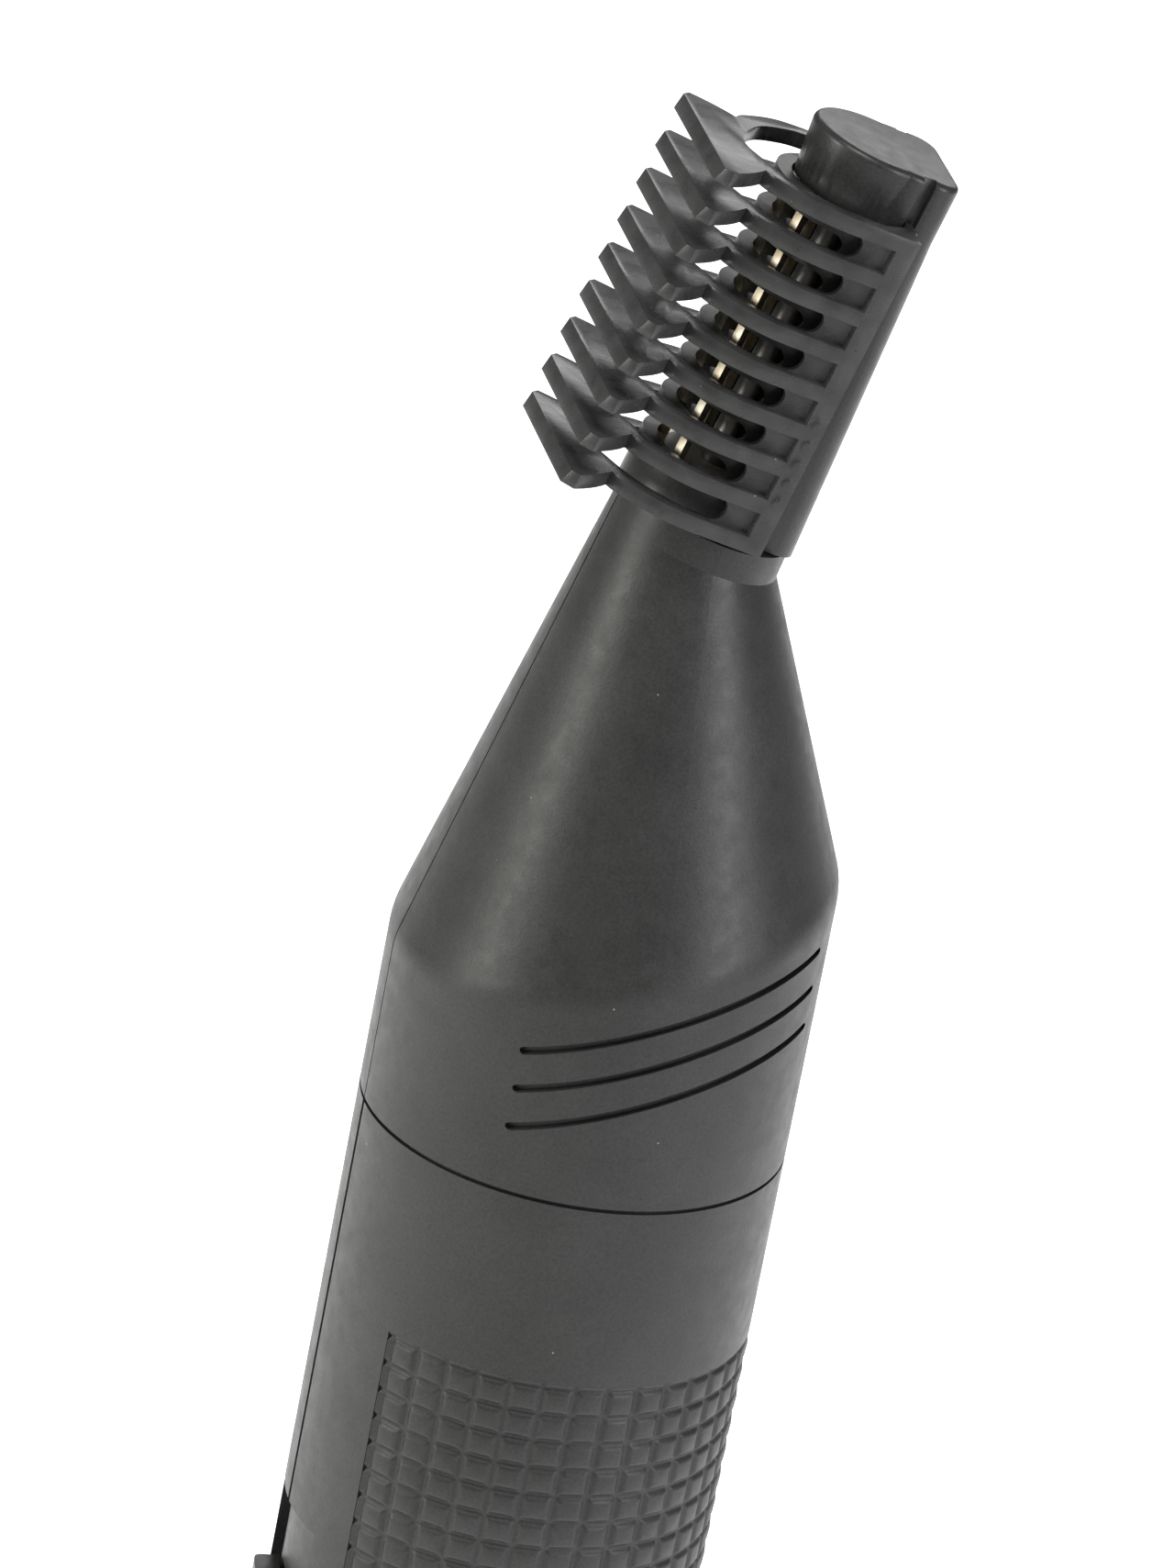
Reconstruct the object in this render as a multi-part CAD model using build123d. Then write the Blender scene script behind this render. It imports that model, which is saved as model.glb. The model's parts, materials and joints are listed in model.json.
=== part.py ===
from build123d import *
from math import cos, pi, radians, sin
import os

# Battery nose and eyebrow trimmer with a slide-on comb. Millimetres, +Z up along the handle, front = -Y.
# The origin is the centre of the flat base. The head leans back: its own frame (HEAD) has +Z along the
# guard tube and -Y to the front, where the comb's teeth point.

# ---- handle and upper housing ----
handle_radius = 13.0
wall = 1.6
seam_z = 65.0            # joint between handle and upper housing
seam_gap = 0.26
parting_width = 0.14
handle_parting_width = 0.42
parting_depth = 0.3
cap_height = 9.0
base_round = 1.4

bend = 16.1              # lean of the head, degrees
neck = (0.0, -0.5, 103.45)
neck_radius = 5.45
neck_back_shift = 0.95
collar_top = 1.85        # the neck goes on up the guard tube to here
collar_radius = 5.4
collar_back_shift = 0.9
shoulder_z = 79.4
shoulder_tilt = 15.4     # the shoulder's plane is low in front and high behind, degrees
shoulder_round = 4.5
shoulder_wall_drop = 0.6
bore_depth = 5.8         # length of the guard tube held in the neck
bore_ledge = 0.2
wall_step = 0.05

groove_width = 0.5
groove_depth = 0.45
groove_pitch = 2.5
groove_count = 3

# ---- grip ----
grip_start, grip_end = 33.5, 178.6     # degrees round from the front
grip_bottom, grip_top = 11.0, 53.2
grip_inset = 0.5
grip_play = 0.02

# ---- guard, cutter, drive ----
guard_radius = 4.85
guard_bore = 3.9
guard_top = 23.0
spigot_radius = 3.75     # the narrower foot of the guard tube, in the neck
spigot_bore = 3.1
crown_top = 26.7
crown_round = 0.4
crown_radius_low, crown_radius = 3.75, 4.15
spine_back_top, spine_back_low = 4.7, 5.9
spine_half = 4.0
spine_round = 1.5
spine_foot = 2.0
rail_slot_y = 2.45       # behind the guard's axis
rail_slot_width = 0.8
rail_slot_depth = 0.5
slot_count = 7
slot_height = 1.4
slot_drop = 0.9          # below the middle of the comb's gaps
slot_half_angle = 78.0

cutter_radius = 3.82
cutter_inner = 3.25
blade_count = 6
blade_width = 0.55
blade_phase = 32.0       # from the front to the first blade, degrees
cutter_low, cutter_high = 4.0, 22.5
spindle_radius = 1.0
ball_radius = 1.5
drive_pin_radius = 0.4
drive_pin_half = 2.5
bush_radius = 2.4

# ---- comb ----
tooth_count = 9
tooth_pitch = 2.545
tooth_thick = 0.95
comb_top = 23.46         # at the front edge of the uppermost tooth
tooth_droop = 0.29       # the teeth fall this far from the waist to the front edge
comb_front = 10.05
front_lean = 0.25        # each tooth's front face stands out this much further at its foot
tip_half, tip_chamfer = 6.1, 0.7
waist_half, waist_y = 4.0, 7.1
ring_half = 6.8
comb_bore = 5.75         # half width of the eye beside the guard
arm_inner = 4.75         # half width behind the guard
eye_front = 7.5
arm_back = 2.5
gap_end_y = 1.25
recess_end = 1.3         # behind the gaps the side walls are set back as far as this
recess_depth = 0.65
rail_half = 0.25
rib_count, rib_pitch = 5, 1.3

# ---- motor, battery, switch ----
motor_y = -3.0
motor_width, motor_thick = 14.4, 10.4
motor_low, motor_high = 63.4, 80.4
motor_shaft_radius = 0.75
battery_y = 2.6
battery_radius = 7.25
battery_low, battery_high = 9.8, 58.6
switch_z = 26.0
switch_travel = 4.0
button_height, button_width = 12.0, 6.4
stem_height, stem_width = 4.6, 3.0

LOW = (Align.CENTER, Align.CENTER, Align.MIN)
HEAD = Plane(origin=neck, x_dir=(1, 0, 0), z_dir=(0, sin(radians(bend)), cos(radians(bend))))
SHOULDER = Plane(origin=(0, 0, shoulder_z), x_dir=(1, 0, 0),
                 z_dir=(0, -sin(radians(shoulder_tilt)), cos(radians(shoulder_tilt))))
tooth_gap = tooth_pitch - tooth_thick
ring_top = comb_top + tooth_droop
comb_foot = ring_top - (tooth_count - 1) * tooth_pitch - tooth_thick
first_gap = ring_top - tooth_thick - tooth_gap / 2    # middle of the uppermost gap
drive_drop = (motor_y - neck[1]) / sin(radians(bend))    # where the two axes cross, on the head's axis
drive_z = neck[2] + drive_drop * cos(radians(bend))


def rod(radius, low, high, x=0, y=0):
    return Pos(x, y, low) * Cylinder(radius, high - low, align=LOW)


def pipe(outer, inner, low, high, x=0, y=0):
    return rod(outer, low, high, x, y) - rod(inner, low - 1, high + 1, x, y)


def block(x0, x1, y0, y1, z0, z1):
    return Pos((x0 + x1) / 2, (y0 + y1) / 2, z0) * Box(x1 - x0, y1 - y0, z1 - z0, align=LOW)


def prism(sketch, low, high):
    return Pos(0, 0, low) * extrude(sketch, high - low)


def on_head(shape):
    return HEAD.location * shape


def half(shape, side):
    """The left (-1) or right (+1) half of a shape, cut on the middle plane."""
    reach = 200
    keep = Pos(side * reach / 2, 0, 0) * Box(reach, 2 * reach, 2 * reach)
    return shape & keep


def sector(radius, start, end, low, high):
    """A wedge of a disc, in degrees round from the front towards +X."""
    steps = [start + (end - start) * i / 6 for i in range(7)]
    rim = [(radius * sin(radians(a)), -radius * cos(radians(a))) for a in steps]
    return prism(make_face(Polyline((0, 0), *rim, close=True)), low, high)


# ---- upper housing -------------------------------------------------------------------------------
def shoulder_ring(inset):
    """The handle's section on the shoulder's slant."""
    radius = handle_radius - inset
    return Ellipse(radius, radius / cos(radians(shoulder_tilt)))


def off_shoulder(point):
    return abs(SHOULDER.to_local_coords(point).Z)


def housing_skin(inset):
    """The upper housing's outer form, drawn in by the inset: a slanted tube, a leaning cone and a collar."""
    mouth = HEAD.location * Pos(0, neck_back_shift) * Circle(neck_radius - inset)
    rim = HEAD.location * Pos(0, collar_back_shift, collar_top) * Circle(collar_radius - inset)
    tube = split(rod(handle_radius - inset, seam_z, seam_z + 40), bisect_by=SHOULDER, keep=Keep.BOTTOM)
    form = tube + loft([SHOULDER.location * shoulder_ring(inset), mouth], ruled=True)
    rims = [e for e in form.edges() if all(off_shoulder(e @ t) < 0.01 for t in (0, 0.3, 0.6))]
    return fillet(rims, shoulder_round - inset) + loft([mouth, rim], ruled=True)


def housing_hollow():
    """The room inside the upper housing, which closes on the guard tube's bore."""
    low = Plane(origin=SHOULDER.origin - Vector(0, 0, shoulder_wall_drop), x_dir=SHOULDER.x_dir,
                z_dir=SHOULDER.z_dir)
    mouth = HEAD.location * Pos(0, 0, -bore_depth) * Circle(spigot_radius + bore_ledge)
    tube = split(rod(handle_radius - wall, seam_z - 1, seam_z + 40), bisect_by=low, keep=Keep.BOTTOM)
    cone = loft([low.location * shoulder_ring(wall + wall_step), mouth], ruled=True)
    return tube + cone + on_head(rod(spigot_radius, -bore_depth - 0.5, collar_top + 1))


def flow_grooves():
    """Three curved grooves round each side, cut from the side to an even depth."""
    path = Spline((-7.0, 9.2), (-1.1, 11.5), (4.2, 13.4), (10.75, 15.2))
    ends = [Pos(p.X, p.Y) * Circle(groove_width / 2) for p in (path @ 0, path @ 1)]
    band = trace(path, groove_width) + ends
    side = Plane(origin=(0, 0, seam_z), x_dir=(0, 1, 0), z_dir=(1, 0, 0))
    cuts = [extrude(side * Pos(0, -groove_pitch * i) * band, handle_radius + 1, both=True)
            for i in range(groove_count)]
    skin = pipe(handle_radius + 1, handle_radius - groove_depth, seam_z, shoulder_z + 6)
    return skin & (cuts[0] + cuts[1:])


def head_shells():
    skin = housing_skin(0)
    shell = skin - housing_hollow() - flow_grooves()
    shell -= pipe(handle_radius + 1, handle_radius - 0.3, seam_z - 1, seam_z + seam_gap / 2)
    line = (skin - housing_skin(parting_depth)) & Box(parting_width, 40, 400)
    shell -= line
    return {"head_shell_right": half(shell, 1), "head_shell_left": half(shell, -1)}


# ---- handle --------------------------------------------------------------------------------------
def grip_room(play):
    ring = pipe(handle_radius + 1, handle_radius - grip_inset - play, grip_bottom - play, grip_top + play)
    wedge = sector(2 * handle_radius, grip_start - play, grip_end + play, grip_bottom - 1, grip_top + 1)
    return ring & wedge


def handle_shells():
    shell = pipe(handle_radius, handle_radius - wall, cap_height, seam_z)
    shell -= pipe(handle_radius + 1, handle_radius - 0.3, seam_z - seam_gap / 2, seam_z + 1)
    slot_low = switch_z - stem_height / 2 - 0.3
    slot_high = switch_z + stem_height / 2 + switch_travel + 0.3
    shell -= block(-stem_width / 2 - 0.3, stem_width / 2 + 0.3, -15, -9, slot_low, slot_high)
    recess_low, recess_high = slot_low - 5.0, slot_high + 5.0
    recess = pipe(handle_radius + 1, handle_radius - 0.7, recess_low, recess_high)
    shell -= recess & block(-4.4, 4.4, -15, -9, recess_low, recess_high)
    line = pipe(handle_radius + 1, handle_radius - parting_depth, cap_height, seam_z)
    shell -= line & Box(handle_parting_width, 40, 400)
    right = half(shell, 1) - grip_room(0)
    return {"handle_shell_right": right, "handle_shell_left": mirror(right, Plane.YZ)}


def grip_pads():
    pad = grip_room(-grip_play) & rod(handle_radius + 0.12, 0, seam_z)
    return {"grip_pad_right": pad, "grip_pad_left": mirror(pad, Plane.YZ)}


def motor_carrier():
    """A sleeve across the seam that locates both housings and holds the motor from below."""
    radius = handle_radius - wall
    sleeve = pipe(radius, radius - 1.0, motor_low - 2.6, seam_z + 4.0)
    floor = rod(radius, motor_low - 2.6, motor_low - 1.4)
    for side in (-1, 1):
        floor -= block(side * 5.5 - 1.2, side * 5.5 + 1.2, motor_y - 1.5, motor_y + 1.5,
                       motor_low - 3, motor_low)
    floor -= rod(2.6, motor_low - 3, motor_low, 0, motor_y)
    return sleeve + floor


# ---- guard ---------------------------------------------------------------------------------------
def guard_slot(middle):
    """One slot round the front of the guard tube, with round ends cut radially."""
    low, high = middle - slot_height / 2, middle + slot_height / 2
    end = slot_half_angle - slot_height / 2 / guard_radius * 180 / pi
    cut = sector(3 * guard_radius, -end, end, low, high)
    for angle in (-end, end):
        cut += Pos(0, 0, middle) * Rot(0, 0, angle) * Rot(90, 0, 0) * Cylinder(slot_height / 2, 9, align=LOW)
    return cut


def rail_slots(low, high):
    """Room down both flanks for the comb's rails."""
    flank = block(spine_half - rail_slot_depth, 9, rail_slot_y - rail_slot_width / 2,
                  rail_slot_y + rail_slot_width / 2, low, high)
    return flank + mirror(flank, Plane.YZ)


def guard_tube():
    """The slotted tube, with a narrower foot held in the neck."""
    foot = collar_top + 0.05
    tube = rod(guard_radius, foot, guard_top) + rod(spigot_radius, -bore_depth, foot)
    tube -= rod(guard_bore, foot + 0.6, guard_top + 1) + rod(spigot_bore, -bore_depth - 1, foot + 1)
    for i in range(slot_count):
        tube -= guard_slot(first_gap - slot_drop - i * tooth_pitch)
    return on_head(tube - rail_slots(foot - 1, guard_top + 1))


def spine_outline(back):
    return Pos(0, back / 2) * RectangleRounded(2 * spine_half, back, spine_round)


def crown():
    """The end cap: round in front with a slight draft, and squared off behind where the spine starts."""
    low, high = Pos(0, 0, guard_top) * Circle(crown_radius_low), Pos(0, 0, crown_top) * Circle(crown_radius)
    body = loft([low, high], ruled=True) + prism(spine_outline(spine_back_top), guard_top, crown_top)
    rim = [e for e in body.edges() if abs(e.center().Z - crown_top) < 0.01]
    return fillet(rim, crown_round)


def guard_spine():
    """The end cap and the spine in one: a lid on the guard tube, and a tapering rail down its back."""
    foot = Pos(0, 0, spine_foot) * spine_outline(spine_back_low)
    head = Pos(0, 0, guard_top) * spine_outline(spine_back_top)
    spine = loft([foot, head], ruled=True) - rod(guard_radius, spine_foot - 1, guard_top + 1)
    spine &= block(-9, 9, spine_round, 9, spine_foot, guard_top)
    body = crown() + spine - rail_slots(0, 40)
    return on_head(body - rod(bush_radius, guard_top - 1, guard_top + 2.2))


# ---- cutter and drive ----------------------------------------------------------------------------
def cutter_blades():
    """The turning steel tube: two rings joined by straight upright blades."""
    tube = pipe(cutter_radius, cutter_inner, cutter_low, cutter_high)
    window_low, window_high = cutter_low + 0.9, cutter_high - 0.6
    cage = pipe(cutter_radius + 1, cutter_inner - 1, window_low, window_high)
    for i in range(blade_count):
        turn = Rot(0, 0, blade_phase + 360 * i / blade_count)
        cage -= turn * block(-blade_width / 2, blade_width / 2, -6, -1, window_low - 1, window_high + 1)
    return on_head(tube - cage)


def cutter_hub():
    hub = rod(cutter_inner, cutter_low - 0.6, cutter_low + 0.9) + rod(2.0, cutter_low - 2.4, cutter_low)
    return on_head(hub - rod(spindle_radius, -10, 40))


def cutter_spindle():
    """The spindle runs from the ball in the drive cup up to the bush in the end cap."""
    spindle = rod(spindle_radius, drive_drop, guard_top + 1.8)
    spindle += Pos(0, 0, drive_drop) * Sphere(ball_radius)
    spindle -= Pos(0, 0, drive_drop) * Rot(0, 90, 0) * Cylinder(drive_pin_radius, 9)
    return on_head(spindle)


def drive_pin():
    pin = Pos(0, 0, drive_drop) * Rot(0, 90, 0) * Cylinder(drive_pin_radius, 2 * drive_pin_half)
    return on_head(pin)


def top_bush():
    return on_head(pipe(bush_radius, spindle_radius + 0.05, guard_top, guard_top + 2.2))


def lower_bush():
    return on_head(pipe(spigot_bore, spindle_radius + 0.05, -bore_depth + 0.2, -bore_depth + 3.2))


def drive_cup():
    """A slotted cup on the motor shaft; the cross pin turns in its slots at the bend."""
    cup = rod(3.2, drive_z - 5.0, drive_z + 1.6, 0, motor_y)
    cup -= rod(2.1, drive_z - 2.2, drive_z + 3, 0, motor_y)
    cup -= block(-6, 6, motor_y - 0.75, motor_y + 0.75, drive_z - 1.5, drive_z + 3)
    cup -= rod(motor_shaft_radius, drive_z - 8, drive_z - 3.4, 0, motor_y)
    return cup


# ---- comb ----------------------------------------------------------------------------------------
def mirrored(edge, near, far):
    """A face closed along the middle plane between two points, with its mirror image."""
    face = make_face(edge + Line(far, near))
    return face + mirror(face, Plane.YZ)


def comb_outline():
    """Plan of one tooth plate: a wide straight front, a drawn-in waist and a ring round the guard."""
    front = -comb_front - front_lean
    near, far = (0, front), (0, arm_back)
    corner, cheek = (tip_half - tip_chamfer, front), (tip_half, front + tip_chamfer)
    waist, ring = (waist_half, -waist_y), (ring_half, -1.2)
    edge = Polyline(near, corner, cheek)
    edge += ThreePointArc(cheek, (5.2, -8.3), waist)
    edge += Spline(waist, (5.28, -5.91), (6.28, -4.31), ring, tangents=((1, 0.4), (0, 1)))
    edge += Polyline(ring, (ring_half, arm_back), far)
    return mirrored(edge, near, far)


def comb_eye():
    """The opening: round the guard, drawn out to a blunt point in front and open behind."""
    near, far = (0, -eye_front), (0, 9)
    side, flank, arm = (comb_bore, -1.0), (comb_bore, 0.4), (arm_inner, 2.0)
    edge = Spline(near, (2.1, -6.8), (4.1, -5.4), (5.25, -3.6), side, tangents=((1, 0), (0, 1)))
    edge += Polyline(side, flank, arm, (arm_inner, 9), far)
    return mirrored(edge, near, far)


def tooth_side(top):
    """Side view of one tooth plate, level round the guard and drooping in front of the waist."""
    front, foot = -comb_front, top - tooth_thick
    upper = [(arm_back, top), (-waist_y, top), (front, top - tooth_droop)]
    lower = [(front - front_lean, foot - tooth_droop), (-waist_y, foot), (arm_back, foot)]
    return extrude(Plane.YZ * make_face(Polyline(*upper, *lower, close=True)), 9, both=True)


def gap_end(middle):
    """The round end of one gap, and the recess behind it in each side wall."""
    low, high = middle - tooth_gap / 2, middle + tooth_gap / 2
    cut = Pos(0, -gap_end_y, middle) * Rot(0, 90, 0) * Cylinder(tooth_gap / 2, 18)
    inner = ring_half - recess_depth
    recess = block(-9, 9, -gap_end_y, recess_end, low, high)
    return cut + (recess - block(-inner, inner, -9, 9, low - 1, high + 1))


def comb():
    body = block(-9, 9, -gap_end_y, arm_back, comb_foot, ring_top)
    for i in range(tooth_count):
        body += tooth_side(ring_top - i * tooth_pitch)
    for i in range(tooth_count - 1):
        body -= gap_end(first_gap - i * tooth_pitch)
    body &= prism(comb_outline() - comb_eye(), comb_foot - 1, ring_top + 1)
    for side in (-1, 1):
        x0, x1 = sorted((side * (spine_half - rail_slot_depth + 0.2), side * (arm_inner + 0.4)))
        body += block(x0, x1, rail_slot_y - rail_half, rail_slot_y + rail_half, comb_foot, ring_top)
        for i in range(rib_count):
            rib = Rot(0, 90, 0) * Cylinder(0.3, 0.36)
            body += Pos(side * ring_half, (recess_end + arm_back) / 2, comb_foot + 3.5 + rib_pitch * i) * rib
    return on_head(body)


# ---- motor ---------------------------------------------------------------------------------------
def flat_round(width, thick):
    """A circle with two flats, the section of a flat-sided motor can."""
    return Circle(width / 2) & Rectangle(width, thick)


def at_motor(sketch, low, high):
    return Pos(0, motor_y, 0) * prism(sketch, low, high)


def motor_parts():
    can = at_motor(flat_round(motor_width, motor_thick), motor_low, motor_high)
    can -= at_motor(flat_round(motor_width - 1, motor_thick - 1), motor_low - 1, motor_high - 0.6)
    boss = pipe(2.5, 1.6, motor_high, motor_high + 1.2, 0, motor_y)
    can = can - rod(1.6, motor_high - 1, motor_high + 1, 0, motor_y) + boss
    end = at_motor(flat_round(motor_width - 1, motor_thick - 1), motor_low, motor_low + 1.6)
    end += rod(2.4, motor_low - 1.2, motor_low, 0, motor_y)
    end -= rod(motor_shaft_radius + 0.05, motor_low - 0.6, motor_low + 3, 0, motor_y)
    bush = pipe(1.6, motor_shaft_radius + 0.05, motor_high - 0.6, motor_high + 1.6, 0, motor_y)
    magnets = at_motor(flat_round(motor_width - 1, motor_thick - 1), motor_low + 4.4, motor_high - 2.6)
    magnets -= rod(4.6, 0, 120, 0, motor_y)
    magnets -= block(-3.4, 3.4, motor_y - 9, motor_y + 9, 0, 120)
    tabs = [Pos(side * 5.5, motor_y, motor_low - 2.8) * Box(1.6, 0.4, 3.4, align=LOW) for side in (-1, 1)]
    end -= tabs[0] + tabs[1]
    armature = rod(4.2, motor_low + 5, motor_high - 3.2, 0, motor_y)
    for i in range(3):
        turn = Pos(0, motor_y, 0) * Rot(0, 0, 120 * i)
        armature -= turn * Pos(0, 4.2, 0) * rod(1.3, 0, 120)
    shaft = rod(motor_shaft_radius, motor_low - 0.5, drive_z - 3.5, 0, motor_y)
    commutator = pipe(1.7, motor_shaft_radius, motor_low + 2.0, motor_low + 4.6, 0, motor_y)
    return {
        "motor_can": can,
        "motor_end_cap": end,
        "motor_bush": bush,
        "motor_magnets": magnets,
        "motor_terminals": tabs[0] + tabs[1],
        "motor_armature": armature - rod(motor_shaft_radius, 0, 120, 0, motor_y),
        "motor_commutator": commutator,
        "motor_shaft": shaft,
    }


# ---- battery compartment ---------------------------------------------------------------------------
def battery_parts():
    cell = rod(battery_radius, battery_low, battery_high, 0, battery_y)
    nub = rod(2.6, battery_high, battery_high + 1.4, 0, battery_y)
    top = [e for e in cell.edges() if abs(e.center().Z - battery_high) < 0.01]
    cell = fillet(top, 0.5)
    sleeve = pipe(battery_radius + 1.0, battery_radius + 0.25, 14.5, battery_high - 0.6, 0, battery_y)
    sleeve -= block(-3, 3, -10, battery_y, 10, switch_z + 14)
    plate = block(-3.2, 3.2, battery_y - 3.2, battery_y + 3.2, battery_high + 1.45, battery_high + 1.8)
    tail = block(4.7, 6.3, battery_y - 3.2, battery_y - 2.8, battery_high + 1.45, motor_low - 2.7)
    plate += block(3.0, 6.3, battery_y - 3.2, battery_y - 1.2, battery_high + 1.45, battery_high + 1.8) + tail
    return {"battery": cell + nub, "battery_sleeve": sleeve, "positive_contact": plate}


def spring_coil(radius, wire, turns, low, high, y):
    pitch = (high - low - wire) / turns
    helix = Helix(pitch, pitch * turns, radius)
    section = Plane(origin=helix @ 0, z_dir=helix % 0) * Circle(wire / 2)
    return Pos(0, y, low + wire / 2) * sweep(section, path=helix)


def cap_parts():
    shell = rod(handle_radius, 0, cap_height - 0.12)
    foot = [e for e in shell.edges() if abs(e.center().Z) < 0.01]
    shell = fillet(foot, base_round)
    plug_radius = handle_radius - wall - 0.06
    shell += rod(plug_radius, cap_height - 0.2, cap_height + 4.2)
    shell -= rod(plug_radius - 1.1, 1.8, cap_height + 6)
    for side in (-1, 1):
        thumb = Pos(side * (handle_radius + 0.4), 0, 4.4) * Rot(0, 90, 0) * Cylinder(2.6, 1.8)
        shell -= thumb
    ring_low = cap_height + 1.6
    ring = pipe(handle_radius - wall - 0.06, handle_radius - wall - 0.7, ring_low, ring_low + 1.0)
    shell -= pipe(handle_radius, handle_radius - wall - 0.7, ring_low, ring_low + 1.0)
    plate = rod(7.6, 1.8, 2.2)
    spring = spring_coil(3.4, 0.6, 4, 2.2, battery_low, battery_y)
    return {"battery_cap": shell, "cap_o_ring": ring, "cap_contact": plate, "battery_spring": spring}


# ---- switch --------------------------------------------------------------------------------------
def switch_parts():
    low, high = switch_z - button_height / 2, switch_z + button_height / 2
    pad = pipe(handle_radius + 0.95, handle_radius - 0.62, low, high)
    pad &= block(-button_width / 2, button_width / 2, -16, -9, low, high)
    edges = pad.edges().filter_by(Axis.Z).sort_by(Axis.Y)[:2]
    pad = fillet(edges, 0.5)
    for i in range(5):
        z = switch_z - 3.2 + 1.6 * i
        pad += block(-2.2, 2.2, -handle_radius - 1.25, -handle_radius - 0.5, z - 0.3, z + 0.3)
    stem = block(-stem_width / 2, stem_width / 2, -12.6, -10.6, switch_z - stem_height / 2,
                 switch_z + stem_height / 2)
    slider = block(-4.2, 4.2, -10.6, -9.4, switch_z - 4.5, switch_z + 4.5) & rod(11.0, 0, 80)
    bridge = block(-2.6, 2.6, -9.4, -9.1, switch_z - 2, switch_z + 2)
    base = block(-4.6, 4.6, -8.6, -7.0, switch_z - 7, switch_z + 11)
    contacts = block(-2.8, -1.4, -8.95, -8.6, switch_z - 2, switch_z + 8)
    contacts += block(1.4, 2.8, -8.95, -8.6, switch_z + 3, switch_z + 8)
    return {
        "switch_button": pad + stem,
        "switch_slider": slider,
        "switch_bridge": bridge,
        "switch_base": base,
        "switch_contacts": contacts,
    }


def contact_strips():
    """Flat strips that carry the current past the battery: cap to switch, and switch to motor."""
    lower = block(-8.6, -7.0, -6.9, -6.5, cap_height + 4.4, switch_z + 6)
    upper = block(7.0, 8.6, -6.9, -6.5, switch_z + 2, motor_low - 2.7)
    return {"negative_strip": lower, "switched_strip": upper}


def build():
    parts = {}
    parts.update(handle_shells())
    parts.update(grip_pads())
    parts.update(head_shells())
    parts["guard_tube"] = guard_tube()
    parts["guard_spine"] = guard_spine()
    parts["top_bush"] = top_bush()
    parts["lower_bush"] = lower_bush()
    parts["cutter_blades"] = cutter_blades()
    parts["cutter_hub"] = cutter_hub()
    parts["cutter_spindle"] = cutter_spindle()
    parts["drive_pin"] = drive_pin()
    parts["drive_cup"] = drive_cup()
    parts["eyebrow_comb"] = comb()
    parts["motor_carrier"] = motor_carrier()
    parts.update(motor_parts())
    parts.update(battery_parts())
    parts.update(cap_parts())
    parts.update(switch_parts())
    parts.update(contact_strips())
    return parts


os.makedirs("parts", exist_ok=True)
for name, shape in build().items():
    export_step(shape, f"parts/{name}.step")
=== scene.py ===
"""Battery trimmer with a slide-on eyebrow comb: looks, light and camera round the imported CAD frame."""
import json
from math import cos, pi, radians, sin

import bmesh
import bpy
from mathutils import Matrix, Vector

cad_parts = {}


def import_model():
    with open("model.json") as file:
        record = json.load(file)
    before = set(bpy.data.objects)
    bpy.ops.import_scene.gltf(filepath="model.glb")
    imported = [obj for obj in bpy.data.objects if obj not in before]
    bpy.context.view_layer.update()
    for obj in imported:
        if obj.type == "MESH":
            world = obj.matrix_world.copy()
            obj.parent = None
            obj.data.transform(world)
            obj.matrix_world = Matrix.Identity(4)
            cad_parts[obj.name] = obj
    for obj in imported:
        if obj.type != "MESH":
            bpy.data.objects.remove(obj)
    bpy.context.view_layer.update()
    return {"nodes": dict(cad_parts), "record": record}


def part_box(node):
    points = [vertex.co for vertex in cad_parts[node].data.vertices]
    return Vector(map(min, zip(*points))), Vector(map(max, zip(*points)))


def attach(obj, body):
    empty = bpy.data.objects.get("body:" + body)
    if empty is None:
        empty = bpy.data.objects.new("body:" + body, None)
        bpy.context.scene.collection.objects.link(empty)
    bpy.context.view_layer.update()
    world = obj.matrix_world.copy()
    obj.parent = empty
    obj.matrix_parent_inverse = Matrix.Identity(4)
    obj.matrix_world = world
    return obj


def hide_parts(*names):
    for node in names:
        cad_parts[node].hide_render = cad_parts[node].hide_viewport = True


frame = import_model()
NODES = frame["nodes"]
MM = 0.001


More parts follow.
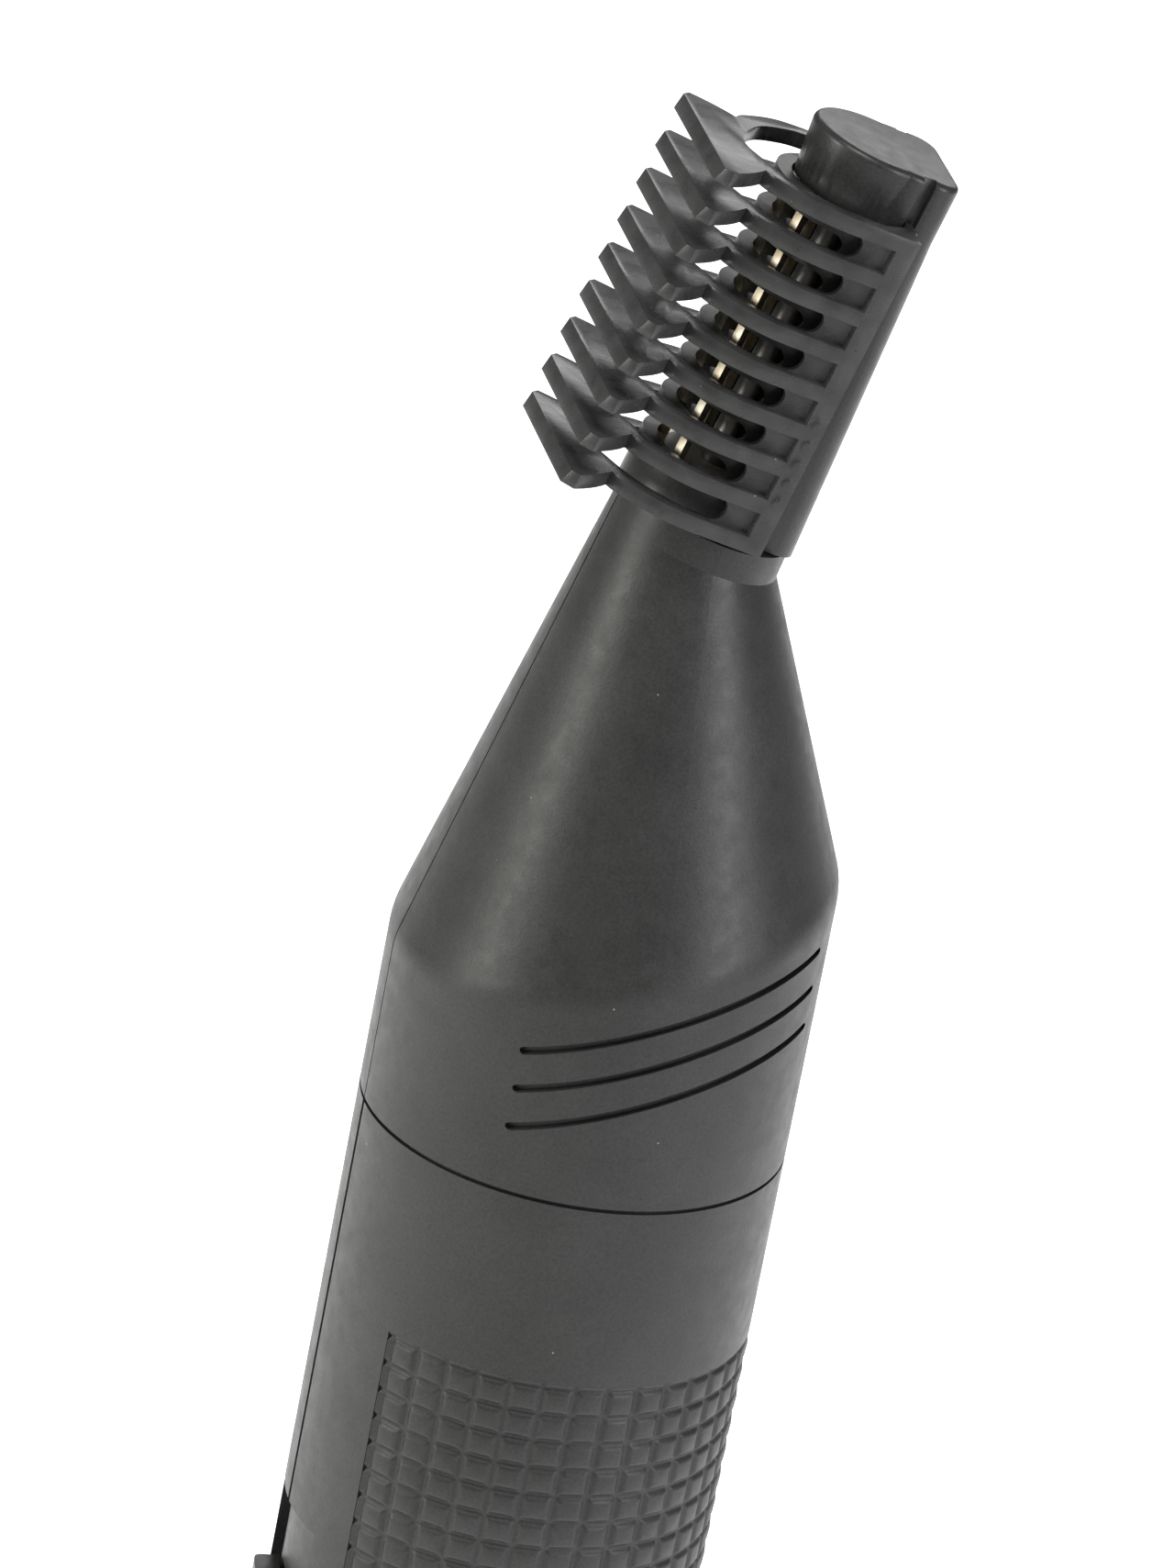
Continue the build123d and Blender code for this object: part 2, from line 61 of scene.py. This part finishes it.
# ---- node helpers --------------------------------------------------------------------------------
class Finish:
    """One procedural material: a Principled shader fed by patterns in millimetres of the object's own space."""

    def __init__(self, name, rough, **sockets):
        self.mat = bpy.data.materials.new(name)
        self.mat.use_nodes = True
        self.tree = self.mat.node_tree
        self.shader = self.tree.nodes["Principled BSDF"]
        self.shader.inputs["Roughness"].default_value = rough
        for key, value in sockets.items():
            self.shader.inputs[key.replace("_", " ")].default_value = value
        place = self.add("ShaderNodeTexCoord").outputs["Object"]
        scale = self.add("ShaderNodeVectorMath", operation="SCALE")
        scale.inputs["Scale"].default_value = 1 / MM
        self.link(place, scale.inputs[0])
        self.place = scale.outputs[0]

    def add(self, kind, **settings):
        node = self.tree.nodes.new(kind)
        for key, value in settings.items():
            setattr(node, key, value)
        return node

    def link(self, a, b):
        self.tree.links.new(a, b)

    def stretched(self, factors):
        node = self.add("ShaderNodeVectorMath", operation="MULTIPLY")
        self.link(self.place, node.inputs[0])
        node.inputs[1].default_value = factors
        return node.outputs[0]

    def noise(self, per_mm, detail=3, rough=0.55, place=None):
        node = self.add("ShaderNodeTexNoise")
        self.link(place or self.place, node.inputs["Vector"])
        node.inputs["Scale"].default_value = per_mm
        node.inputs["Detail"].default_value = detail
        node.inputs["Roughness"].default_value = rough
        return node.outputs["Fac"]

    def spots(self, per_mm, radius, share):
        """Sparse round specks: 1 inside a speck, 0 elsewhere."""
        cells = self.add("ShaderNodeTexVoronoi", feature="F1")
        self.link(self.place, cells.inputs["Vector"])
        cells.inputs["Scale"].default_value = per_mm
        near = self.add("ShaderNodeMath", operation="LESS_THAN")
        self.link(cells.outputs["Distance"], near.inputs[0])
        near.inputs[1].default_value = radius * per_mm
        pick = self.add("ShaderNodeSeparateColor")
        self.link(cells.outputs["Color"], pick.inputs[0])
        some = self.add("ShaderNodeMath", operation="LESS_THAN")
        self.link(pick.outputs[0], some.inputs[0])
        some.inputs[1].default_value = share
        both = self.add("ShaderNodeMath", operation="MULTIPLY")
        self.link(near.outputs[0], both.inputs[0])
        self.link(some.outputs[0], both.inputs[1])
        return both.outputs[0]

    def remap(self, value, low, high, to_low, to_high):
        node = self.add("ShaderNodeMapRange")
        self.link(value, node.inputs["Value"])
        for key, number in zip(("From Min", "From Max", "To Min", "To Max"), (low, high, to_low, to_high)):
            node.inputs[key].default_value = number
        return node.outputs[0]

    def blend(self, factor, first, second, kind="MIX"):
        node = self.add("ShaderNodeMix", data_type="RGBA", blend_type=kind)
        if isinstance(factor, (int, float)):
            node.inputs[0].default_value = factor
        else:
            self.link(factor, node.inputs[0])
        for value, socket in ((first, node.inputs[6]), (second, node.inputs[7])):
            if isinstance(value, tuple):
                socket.default_value = (*value, 1)
            else:
                self.link(value, socket)
        return node.outputs[2]

    def colour(self, value):
        self.link(value, self.shader.inputs["Base Color"])

    def roughness(self, value):
        self.link(value, self.shader.inputs["Roughness"])

    def bump(self, *layers):
        """Layers are (height value, depth in millimetres, strength)."""
        normal = None
        for value, depth, strength in layers:
            node = self.add("ShaderNodeBump")
            node.inputs["Distance"].default_value = depth * MM
            node.inputs["Strength"].default_value = strength
            self.link(value, node.inputs["Height"])
            if normal is not None:
                self.link(normal, node.inputs["Normal"])
            normal = node.outputs[0]
        self.link(normal, self.shader.inputs["Normal"])


# ---- materials -----------------------------------------------------------------------------------
LINT = (0.30, 0.30, 0.29)
FILM_GREEN, FILM_BAND = (0.035, 0.075, 0.05), (0.62, 0.6, 0.5)
FILM_BAND_WIDTH = 11.0     # millimetres of pale band at the top of the cell


def moulded(name, tone, rough, grain=0.5, dust=0.1):
    """Dark spark-eroded plastic: fine sandy grain, slow mottling, a few specks of dust."""
    f = Finish(name, rough)
    warm = (1.0, 1.0, 0.99)
    dark = tuple(tone * 0.86 * w for w in warm)
    light = tuple(tone * 1.16 * w for w in warm)
    slow, sand, fine = f.noise(0.16, 4), f.noise(5.5, 2, 0.7), f.noise(14, 1)
    base = f.blend(f.remap(slow, 0.35, 0.65, 0, 1), dark, light)
    speck = f.remap(sand, 0.3, 0.75, 0.72, 1.3)
    base = f.blend(1.0, base, speck, "MULTIPLY")
    lint = f.spots(0.55, 0.055, dust)
    f.colour(f.blend(lint, base, LINT))
    f.roughness(f.remap(f.noise(0.9, 5), 0.3, 0.7, rough - 0.05, rough + 0.06))
    f.bump((sand, 0.02, grain), (fine, 0.008, grain), (f.noise(0.35, 3), 0.05, 0.25))
    return f.mat


def smoky(name, tone):
    """Smoke-tinted polished moulding that lets a little light through, with flow marks and fine scuffs."""
    f = Finish(name, 0.28, Transmission_Weight=0.25, IOR=1.5)
    slow, flow = f.noise(0.3, 3), f.noise(0.9, 4, place=f.stretched((1, 0.35, 0.9)))
    patches = f.remap(f.noise(0.6, 2, 0.4), 0.35, 0.7, 0, 1)
    deep = f.blend(f.remap(slow, 0.35, 0.65, 0, 1), (tone * 0.8,) * 3, (tone, tone * 0.99, tone * 0.97))
    base = f.blend(patches, deep, (tone * 1.3, tone * 1.3, tone * 1.32))
    f.colour(f.blend(f.spots(0.9, 0.05, 0.12), base, (0.45, 0.45, 0.43)))
    f.roughness(f.remap(flow, 0.3, 0.7, 0.22, 0.34))
    f.bump((flow, 0.006, 0.25), (f.noise(6, 2), 0.002, 0.25))
    return f.mat


def metal(name, colour, rough, tint=None, grain=(1, 1, 0.06)):
    """Ground or drawn metal: fine lines one way, patches of tarnish and stain."""
    f = Finish(name, rough, Metallic=1.0)
    lines = f.noise(9, 3, 0.6, place=f.stretched(grain))
    stain = f.noise(0.7, 4)
    base = f.blend(f.remap(stain, 0.42, 0.68, 0, 1), colour, tint or tuple(c * 0.72 for c in colour))
    f.colour(f.blend(1.0, base, f.remap(lines, 0.3, 0.7, 0.82, 1.12), "MULTIPLY"))
    f.roughness(f.remap(lines, 0.3, 0.7, rough - 0.06, rough + 0.1))
    f.bump((lines, 0.004, 0.3))
    return f.mat


def pale(name, colour, rough, **sockets):
    """Natural engineering plastic: faint cloudiness and grease smears."""
    f = Finish(name, rough, **sockets)
    cloud = f.noise(0.25, 4)
    grey = tuple(c * 0.78 for c in colour)
    base = f.blend(f.remap(cloud, 0.35, 0.7, 0, 1), colour, grey)
    f.colour(f.blend(f.remap(f.noise(0.8, 5), 0.62, 0.72, 0, 0.5), base, tuple(c * 0.45 for c in colour)))
    f.roughness(f.remap(cloud, 0.3, 0.7, rough - 0.08, rough + 0.1))
    f.bump((f.noise(3, 3), 0.02, 0.3))
    return f.mat


def wound(name):
    """Enamelled copper: close-wound turns across, darker in the grooves between the turns and lighter on their
    crests.
    """
    f = Finish(name, 0.3, Metallic=1.0)
    wire = f.add("ShaderNodeTexWave", wave_type="BANDS", bands_direction="Z", wave_profile="SIN")
    f.link(f.place, wire.inputs["Vector"])
    wire.inputs["Scale"].default_value = 1.6
    wire.inputs["Distortion"].default_value = 0.6
    f.colour(f.blend(wire.outputs["Fac"], (0.19, 0.06, 0.02), (0.72, 0.31, 0.13)))
    f.roughness(f.remap(f.noise(2, 3), 0.3, 0.7, 0.22, 0.42))
    f.bump((wire.outputs["Fac"], 0.08, 0.8))
    return f.mat


def wrapped(name):
    """Shrink film on the cell: plain dark green with a pale band at the top, rubbed along its edges."""
    f = Finish(name, 0.25, Coat_Weight=0.3)
    axes = f.add("ShaderNodeSeparateXYZ")
    f.link(f.place, axes.inputs[0])
    band = f.add("ShaderNodeMath", operation="GREATER_THAN")
    f.link(axes.outputs[2], band.inputs[0])
    band.inputs[1].default_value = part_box("battery")[1][2] / MM - FILM_BAND_WIDTH
    base = f.blend(band.outputs[0], FILM_GREEN, FILM_BAND)
    scuff = f.remap(f.noise(1.4, 6), 0.6, 0.7, 0, 0.6)
    f.colour(f.blend(scuff, base, (0.35, 0.36, 0.33)))
    f.roughness(f.remap(f.noise(2.5, 4), 0.3, 0.7, 0.18, 0.4))
    f.bump((f.noise(0.8, 3), 0.06, 0.4))
    return f.mat


BODY_TONE = 0.031
MATERIALS = {
    "body_plastic": moulded("body_plastic", BODY_TONE, 0.42),
    "grip_rubber": moulded("grip_rubber", BODY_TONE * 0.95, 0.46, grain=0.4),
    "guard_plastic": moulded("guard_plastic", 0.032, 0.36, grain=0.35, dust=0.16),
    "comb_plastic": smoky("comb_plastic", 0.055),
    "cutter_steel": metal("cutter_steel", (0.72, 0.66, 0.54), 0.34, (0.5, 0.4, 0.26), grain=(1, 1, 0.03)),
    "shaft_steel": metal("shaft_steel", (0.3, 0.29, 0.28), 0.36),
    "motor_steel": metal("motor_steel", (0.62, 0.62, 0.6), 0.3),
    "contact_brass": metal("contact_brass", (0.75, 0.58, 0.3), 0.28, (0.5, 0.34, 0.14)),
    "inner_plastic": pale("inner_plastic", (0.72, 0.72, 0.68), 0.45),
    "drive_plastic": pale("drive_plastic", (0.78, 0.75, 0.66), 0.35, Subsurface_Weight=0.1),
    "magnet_ferrite": moulded("magnet_ferrite", 0.05, 0.6, grain=0.9, dust=0.05),
    "copper_winding": wound("copper_winding"),
    "battery_wrap": wrapped("battery_wrap"),
    "black_rubber": moulded("black_rubber", 0.014, 0.55, grain=0.6, dust=0.12),
    "spring_steel": metal("spring_steel", (0.6, 0.6, 0.57), 0.26, grain=(0.06, 1, 1)),
}
SLOT = {row["node"]: row["material_slot"] for row in frame["record"]["subparts"]}


def dress_nodes():
    for name, obj in NODES.items():
        obj.data.materials.clear()
        obj.data.materials.append(MATERIALS[SLOT[name]])


# ---- pieces --------------------------------------------------------------------------------------
def stand_in(name, mesh, node, body):
    """A piece that takes one CAD node's place, its body and its finish."""
    piece = bpy.data.objects.new(name, mesh)
    bpy.context.scene.collection.objects.link(piece)
    mesh.materials.append(MATERIALS[SLOT[node]])
    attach(piece, body)
    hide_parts(node)
    return piece


# Pillow grip: radii and lengths in millimetres, angles in degrees round from the front
GRIP_COLUMNS, GRIP_ROWS = 16, 23
GRIP_START, GRIP_END = 33.6, 178.5
GRIP_EDGE = 0.28          # border round the pillows
BORDER_LEVEL, BORDER_SHARE = 0.85, 0.2     # height of the border's flat part, and its share of the border
PILLOW_TOP, PILLOW_CROWN, GROOVE_DEPTH = 13.0, 0.05, 0.22
GRIP_INNER = 12.53
PROFILE = ((0.0, 0.0), (0.05, 0.05), (0.11, 0.5), (0.17, 0.86), (0.24, 1.0), (0.5, 1.12))


def pillow_steps(count):
    """Positions across a run of pillows, with the height (0 groove, 1 top) at each."""
    one = list(PROFILE) + [(1 - u, h) for u, h in reversed(PROFILE[:-1])]
    steps = [(i + u, h) for i in range(count) for u, h in one[:-1]]
    return steps + [(count, 0.0)]


def bordered(low, high, edge, count):
    """A run of pillows from low to high with a border at each end, as (position, height) pairs."""
    pitch = (high - low - 2 * edge) / count
    run = [(low + edge + u * pitch, h) for u, h in pillow_steps(count)]
    flat = edge * BORDER_SHARE
    return ([(low, BORDER_LEVEL), (low + flat, BORDER_LEVEL)] + run
            + [(high - flat, BORDER_LEVEL), (high, BORDER_LEVEL)])


def pillow_radius(h, k):
    """Radius where the heights across and along are h and k; the top is slightly domed."""
    radius = PILLOW_TOP - GROOVE_DEPTH * (1 - min(h, k, 1.0))
    if min(h, k) >= 1.0:
        radius += PILLOW_CROWN * (h - 1) * (k - 1) / (PROFILE[-1][1] - 1) ** 2
    return radius


def grip_half(side):
    """One grip pad: pillowed outer face, plain inner face, closed at the sides and ends."""
    node = "grip_pad_right" if side > 0 else "grip_pad_left"
    bottom, top = (corner[2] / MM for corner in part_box(node))
    across = bordered(GRIP_START, GRIP_END, GRIP_EDGE / PILLOW_TOP * 180 / pi, GRIP_COLUMNS)
    along = bordered(bottom, top, GRIP_EDGE, GRIP_ROWS)
    columns, rows = len(across), len(along)
    verts = [at_angle(side, angle, pillow_radius(h, k), z) for angle, h in across for z, k in along]
    quads = [(a, a + rows, a + rows + 1, a + 1)
             for a in (i * rows + j for i in range(columns - 1) for j in range(rows - 1))]
    base = len(verts)
    for angle, _ in across:
        verts += [at_angle(side, angle, GRIP_INNER, bottom), at_angle(side, angle, GRIP_INNER, top)]
    for i in range(columns - 1):
        a, b = base + 2 * i, base + 2 * (i + 1)
        outer_a, outer_b = i * rows, (i + 1) * rows
        quads += [(a, a + 1, b + 1, b), (a, b, outer_b, outer_a),
                  (a + 1, outer_a + rows - 1, outer_b + rows - 1, b + 1)]
    ends = [[base + 2 * i, *range(i * rows, (i + 1) * rows), base + 2 * i + 1] for i in (0, columns - 1)]
    faces = [*quads, tuple(ends[0]), tuple(reversed(ends[1]))]
    if side < 0:
        faces = [face[::-1] for face in faces]
    name = node.replace("pad", "pillows")
    mesh = bpy.data.meshes.new(name)
    mesh.from_pydata(verts, [], faces)
    mesh.validate()
    smooth_by_angle(stand_in(name, mesh, node, "housing"), 50)


def at_angle(side, angle, radius, z):
    """A point in metres, round from the front to the right (side 1) or to the left (side -1)."""
    return (side * radius * sin(radians(angle)) * MM, -radius * cos(radians(angle)) * MM, z * MM)


def smooth_by_angle(piece, degrees):
    """Outward normals and smooth shading, with edges sharper than this left crisp."""
    mesh = piece.data
    work = bmesh.new()
    work.from_mesh(mesh)
    bmesh.ops.recalc_face_normals(work, faces=work.faces)
    for face in work.faces:
        face.smooth = True
    for edge in work.edges:
        edge.smooth = not edge.is_manifold or edge.calc_face_angle(0) < radians(degrees)
    work.to_mesh(mesh)
    work.free()


WELD = 1e-6               # metres
FLAT, SHARP = radians(1.0), radians(25)


def softened(node, body, width):
    """The node's own form with small rounded edges, as a separate mesh."""
    work = bmesh.new()
    work.from_mesh(NODES[node].data)
    bmesh.ops.remove_doubles(work, verts=work.verts, dist=WELD)
    bmesh.ops.dissolve_limit(work, angle_limit=FLAT, verts=work.verts, edges=work.edges)
    edges = [e for e in work.edges if e.is_manifold and e.calc_face_angle(0) > SHARP]
    bmesh.ops.bevel(work, geom=edges, offset=width * MM, offset_type="OFFSET", segments=2, profile=0.5,
                    affect="EDGES", clamp_overlap=True)
    mesh = bpy.data.meshes.new(node + "_soft")
    work.to_mesh(mesh)
    work.free()
    smooth_by_angle(stand_in(node + "_soft", mesh, node, body), 40)


# ---- stage, light and camera ---------------------------------------------------------------------
VIEW_AZIMUTH, VIEW_ELEVATION, VIEW_ROLL = 73.14, 25.27, 11.12     # degrees
VIEW_DISTANCE = 0.7306                                             # from the middle of the housing's seam
VIEW_LENS = 279.0
AIM_RIGHT, AIM_UP = 0.00083, 0.01973                               # aim point beside that middle
FLOOR_HALF, FLOOR_GLOW = 6.0, 0.95
GLOW_BEHIND = 0.22                                                 # middle of the lit patch
GLOW_REACH = (0.24, 0.34)                                          # where it starts and stops fading
GLOW_OUTSIDE = 0.04
FILL = 0.14
WHITE, WARM = (1, 1, 1), (1.0, 0.99, 0.93)
LIGHTS = (        # name, degrees round from the camera, elevation, distance, size, watts, tint
    ("left", -68, 17, 0.6, (0.15, 0.4), 1.8, WARM),
    ("right", 58, 18, 0.6, (0.22, 0.4), 1.7, WHITE),
    ("back", 169, 22, 0.8, (0.6, 0.25), 1.1, WHITE),
    ("top", -10, 70, 0.8, (0.3, 0.3), 3, WHITE),
)


def camera_axes():
    a, e, roll = map(radians, (VIEW_AZIMUTH, VIEW_ELEVATION, VIEW_ROLL))
    back = Vector((sin(a) * cos(e), -cos(a) * cos(e), sin(e)))
    level = Vector((cos(a), sin(a), 0))
    above = back.cross(level)
    return cos(roll) * level + sin(roll) * above, cos(roll) * above - sin(roll) * level, back


def camera():
    """A long lens beside and above the head, rolled so that the handle leans."""
    right, up, back = camera_axes()
    seam = Vector((0, 0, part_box("head_shell_right")[0][2]))
    place = seam + back * VIEW_DISTANCE
    back = (place - seam - AIM_RIGHT * right - AIM_UP * up).normalized()
    right = up.cross(back).normalized()
    up = back.cross(right)
    data = bpy.data.cameras.new("camera")
    data.lens, data.sensor_width = VIEW_LENS, 36.0
    data.clip_start, data.clip_end = 0.05, 20
    cam = bpy.data.objects.new("camera", data)
    bpy.context.scene.collection.objects.link(cam)
    cam.matrix_world = Matrix.Translation(place) @ Matrix((right, up, back)).transposed().to_4x4()
    bpy.context.scene.camera = cam


def floor():
    """A pale floor, lit from within behind the object so that the background is white."""
    half = FLOOR_HALF
    mesh = bpy.data.meshes.new("floor")
    mesh.from_pydata([(-half, -half, 0), (half, -half, 0), (half, half, 0), (-half, half, 0)], [], [(0, 1, 2, 3)])
    obj = bpy.data.objects.new("floor", mesh)
    bpy.context.scene.collection.objects.link(obj)
    mat = bpy.data.materials.new("floor")
    mat.use_nodes = True
    shader = mat.node_tree.nodes["Principled BSDF"].inputs
    shader["Base Color"].default_value = (0.9, 0.9, 0.9, 1)
    shader["Roughness"].default_value = 0.9
    shader["Emission Strength"].default_value = FLOOR_GLOW
    mat.node_tree.links.new(lit_patch(mat.node_tree), shader["Emission Color"])
    mesh.materials.append(mat)


def lit_patch(tree):
    """1 in a round patch of floor behind the object, fading outward to a low level."""
    place = tree.nodes.new("ShaderNodeTexCoord").outputs["Object"]
    away = tree.nodes.new("ShaderNodeVectorMath")
    away.operation = "DISTANCE"
    tree.links.new(place, away.inputs[0])
    a = radians(VIEW_AZIMUTH)
    away.inputs[1].default_value = (-sin(a) * GLOW_BEHIND, cos(a) * GLOW_BEHIND, 0)
    fade = tree.nodes.new("ShaderNodeMapRange")
    tree.links.new(away.outputs["Value"], fade.inputs["Value"])
    for key, value in zip(("From Min", "From Max", "To Min", "To Max"), (*GLOW_REACH, 1, GLOW_OUTSIDE)):
        fade.inputs[key].default_value = value
    return fade.outputs[0]


def softbox(name, azimuth, elevation, distance, size, power, tint):
    """A soft rectangular light aimed at the housing's seam; azimuth 0 is in front, 90 on the right."""
    a, e = radians(azimuth), radians(elevation)
    target = Vector((0, 0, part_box("head_shell_right")[0][2]))
    toward = Vector((sin(a) * cos(e), -cos(a) * cos(e), sin(e)))
    data = bpy.data.lights.new(name, "AREA")
    data.shape, data.size, data.size_y, data.energy, data.color = "RECTANGLE", size[0], size[1], power, tint
    obj = bpy.data.objects.new(name, data)
    obj.location = target + toward * distance
    obj.rotation_euler = (-toward).to_track_quat("-Z", "Y").to_euler()
    bpy.context.scene.collection.objects.link(obj)


def world(strength):
    """Even white fill light."""
    w = bpy.data.worlds.new("studio")
    w.use_nodes = True
    w.node_tree.nodes["Background"].inputs["Color"].default_value = (1, 1, 1, 1)
    w.node_tree.nodes["Background"].inputs["Strength"].default_value = strength
    bpy.context.scene.world = w


# ---- the scene -----------------------------------------------------------------------------------
bpy.context.scene.view_settings.view_transform = "Standard"
dress_nodes()
grip_half(1)
grip_half(-1)
softened("eyebrow_comb", "comb", 0.09)
softened("guard_spine", "housing", 0.12)
floor()
world(FILL)
for name, turn, *rest in LIGHTS:
    softbox(name, VIEW_AZIMUTH + turn, *rest)
camera()
